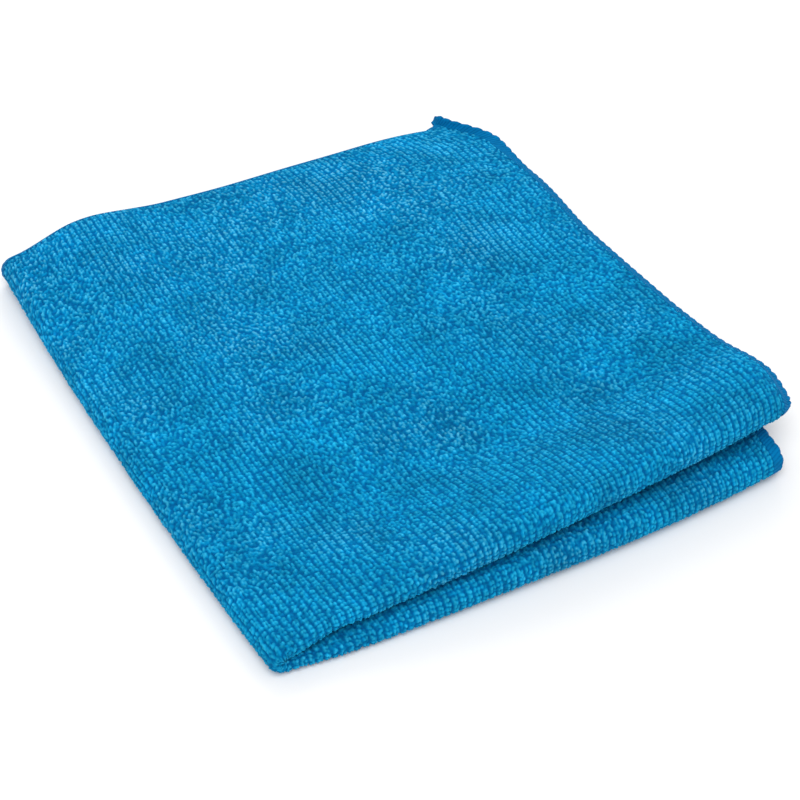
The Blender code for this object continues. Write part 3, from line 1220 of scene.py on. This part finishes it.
@dataclass
class ClothHalf:
    """One half of the folded cloth: two layers, the lip that joins them, and their bound edges.

    Attributes:
        side_fold: the side fold, whose quarter turn this half's outer layer goes on into.
    """

    maker: ClothMaker
    half: Half
    side_fold: SideFold
    fine_step: tuple[float, float] = (0.00031, 0.00031)
    inner_step: tuple[float, float] = (0.00050, 0.00050)
    plain_step: tuple[float, float] = (0.0016, 0.0016)
    edge_step: float = 0.00023
    pieces: list[bpy.types.Object] = field(default_factory=list)

    @property
    def outer_name(self) -> str:
        """What the outer layer is called."""
        return "top" if self.half is Half.UPPER else "bottom"

    @property
    def inner_name(self) -> str:
        """What the inner layer is called."""
        return f"{self.half.name.lower()}_inner"

    def reach(self) -> tuple[float, float]:
        """The two values of `across` between which this half's terry lies, the lower one first."""
        cloth = self.maker.cloth
        ends = (cloth.allowance, cloth.edge(self.half) - cloth.hem)
        return ends if self.half is Half.UPPER else (-ends[1], -ends[0])

    def build(self) -> None:
        """Makes all its pieces."""
        self.build_layer(Layer.INNER, self.inner_step, 1)
        if self.half is Half.UPPER:
            self.build_layer(Layer.OUTER, self.fine_step, 4)
        else:
            self.build_layer(Layer.OUTER, self.plain_step, 1)
        self.build_lip()

    def build_layer(self, layer: Layer, step: tuple[float, float], strips: int) -> None:
        """Makes a layer, in as many strips as its detail needs, and its back edge.

        Args:
            layer: which layer.
            step: distance between its points, across and along.
            strips: how many strips it is made in, which part in the furrows between loops.
        """
        maker, cloth = self.maker, self.maker.cloth
        label = self.outer_name if layer is Layer.OUTER else self.inner_name
        start, end = self.reach()
        pitch = 2.0 * maker.pile.column_pitch
        cuts = np.linspace(start, end, strips + 1)
        cuts[1:-1] = np.round(cuts[1:-1] / pitch) * pitch
        back = self.build_back_edge(layer, label)
        for number in range(strips):
            coarse = 4
            columns = spaced(cuts[number], cuts[number + 1], step[0], coarse)
            gaps = len(spaced(0.0, cloth.half_length - cloth.hem, step[1], coarse)) - 1
            share = np.linspace(0.0, 1.0, gaps + 1)[None, :]
            near = cloth.lip_reach(columns)[:, None]
            rows = near + (cloth.half_length - cloth.hem - near) * share
            if layer is Layer.INNER:
                rows = -rows[:, ::-1]
            name = f"{label}_layer" if strips == 1 else f"{label}_layer_{number + 1}"
            piece = maker.sheet(name, columns, rows, coarse)
            flat, area = maker.flat_area(columns, rows)
            self.dress(piece, Slot.TERRY, f"panel_{label}")
            joined = [back] if number == 0 else []
            if number == 0 and layer is Layer.OUTER:
                joined += self.side_fold.quarters[self.half]

    def build_back_edge(self, layer: Layer, label: str) -> bpy.types.Object:
        """Makes the bound back edge of a layer."""
        maker, cloth = self.maker, self.maker.cloth
        run = spaced(*self.reach(), self.edge_step)
        inner = cloth.half_length - cloth.hem
        piece = maker.bound_edge(f"{label}_back_edge", run, True, layer.value, inner, False)
        self.dress(piece, Slot.THREAD, f"back_hem_{label}")
        return piece

    def build_lip(self) -> None:
        """Makes the rounded front fold."""
        maker, cloth = self.maker, self.maker.cloth
        coarse = 4
        columns = spaced(*self.reach(), self.fine_step[0], coarse)
        ends = cloth.lip_reach(columns)[:, None]
        gaps = len(spaced(-ends.max(), ends.max(), 0.8 * self.fine_step[1], coarse)) - 1
        rows = ends * np.linspace(-1.0, 1.0, gaps + 1)[None, :]
        side = self.half.name.lower()
        piece = maker.sheet(f"{side}_front_fold", columns, rows, coarse)
        flat, area = maker.flat_area(columns, rows)
        self.dress(piece, Slot.TERRY, f"front_fold_{side}")
        edge = self.build_right_edge()

    def build_right_edge(self) -> bpy.types.Object:
        """Makes the bound right edge, which runs over both layers and round the lip."""
        maker, cloth = self.maker, self.maker.cloth
        side = self.half.name.lower()
        end = cloth.half_length + maker.overlock.tail
        run = spaced(-end, end, self.edge_step)
        inner = cloth.edge(self.half) - cloth.hem
        piece = maker.bound_edge(f"{side}_right_edge", run, False, self.half.value, inner, True)
        nodes = [f"right_hem_{self.outer_name}", f"right_hem_{self.inner_name}", f"right_hem_{side}_lip"]
        self.dress(piece, Slot.THREAD, *nodes)
        return piece

    def dress(self, piece: bpy.types.Object, slot: Slot, *nodes: str) -> None:
        """Puts a piece on this half's body, in the place of its solids."""
        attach(piece, self.half.body)
        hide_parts(*nodes)
        self.pieces.append(piece)


@dataclass
class Studio:
    """The floor, the lights and the camera.

    Attributes:
        aim: what the camera looks at, from the cloth's own origin.
        azimuth: the direction that it looks in, in degrees from +Y towards +X.
        elevation: how far above the horizon it stands, in degrees.
        distance: how far it stands from its aim.
        lens: its focal length, in millimetres.
    """

    cloth: FoldedCloth
    aim: tuple[float, float, float] = (0.0806, 0.0740, 0.0080)
    azimuth: float = 30.6
    elevation: float = 42.9
    distance: float = 0.536
    lens: float = 76.5
    floor_size: float = 12.0
    floor_drop: float = 0.0002
    surround: float = 0.62

    def build(self) -> None:
        """Sets up the whole studio."""
        self.build_floor()
        self.build_lights()
        self.build_camera()

    def build_floor(self) -> None:
        """Lays a wide plain floor."""
        bpy.ops.mesh.primitive_plane_add(size=self.floor_size, location=(0, 0, -self.floor_drop))
        floor = bpy.context.object
        floor.name = "floor"
        floor.data.materials.append(FloorFinish().material())

    def build_lights(self) -> None:
        """Adds an even white surround and two wide soft lamps, in front of the cloth and behind it."""
        world = bpy.data.worlds.new("surround")
        bpy.context.scene.world = world
        world.use_nodes = True
        background = world.node_tree.nodes["Background"]
        background.inputs["Color"].default_value = (1.0, 1.0, 1.0, 1.0)
        background.inputs["Strength"].default_value = self.surround
        self.add_lamp("key", place=(-0.35, -0.55, 1.25), size=0.9, power=12.0)
        self.add_lamp("back", place=(0.5, 0.9, 0.9), size=0.8, power=5.0)

    @staticmethod
    def add_lamp(name: str, place: tuple[float, float, float], size: float, power: float) -> None:
        """Adds a square soft lamp that faces the cloth.

        Args:
            name: the lamp's name.
            place: where it hangs.
            size: its side.
            power: its power in watts.
        """
        bpy.ops.object.light_add(type="AREA", location=place)
        lamp = bpy.context.object
        lamp.name = name
        lamp.data.size = size
        lamp.data.energy = power
        lamp.rotation_euler = (-Vector(place)).to_track_quat("-Z", "Y").to_euler()

    def build_camera(self) -> None:
        """Stands the camera and makes it the scene's."""
        azimuth, elevation = math.radians(self.azimuth), math.radians(self.elevation)
        look = Vector(
            (
                math.cos(elevation) * math.sin(azimuth),
                math.cos(elevation) * math.cos(azimuth),
                -math.sin(elevation),
            )
        )
        aim = Vector(self.aim) + Vector((*self.cloth.origin, 0.0))
        bpy.ops.object.camera_add(location=aim - look * self.distance)
        camera = bpy.context.object
        camera.rotation_euler = look.to_track_quat("-Z", "Y").to_euler()
        camera.data.lens = self.lens
        camera.data.clip_start = 0.01
        bpy.context.scene.camera = camera
        bpy.context.scene.view_settings.view_transform = "Standard"


def main() -> None:
    """Builds the cloth and the studio."""
    logging.basicConfig(level=logging.INFO, format="%(name)s: %(message)s")
    cloth = FoldedCloth.in_frame()
    maker = ClothMaker(
        cloth, TerryPile(), Overlock(), TerryFinish().material(), ThreadFinish().material()
    )
    side_fold = SideFold(maker)
    for group in (side_fold, *(ClothHalf(maker, half, side_fold) for half in Half)):
        group.build()
        for piece in group.pieces:
            log.info("%s: %d faces", piece.name, len(piece.data.polygons))
    Studio(cloth).build()


if __name__ == "__main__":
    main()
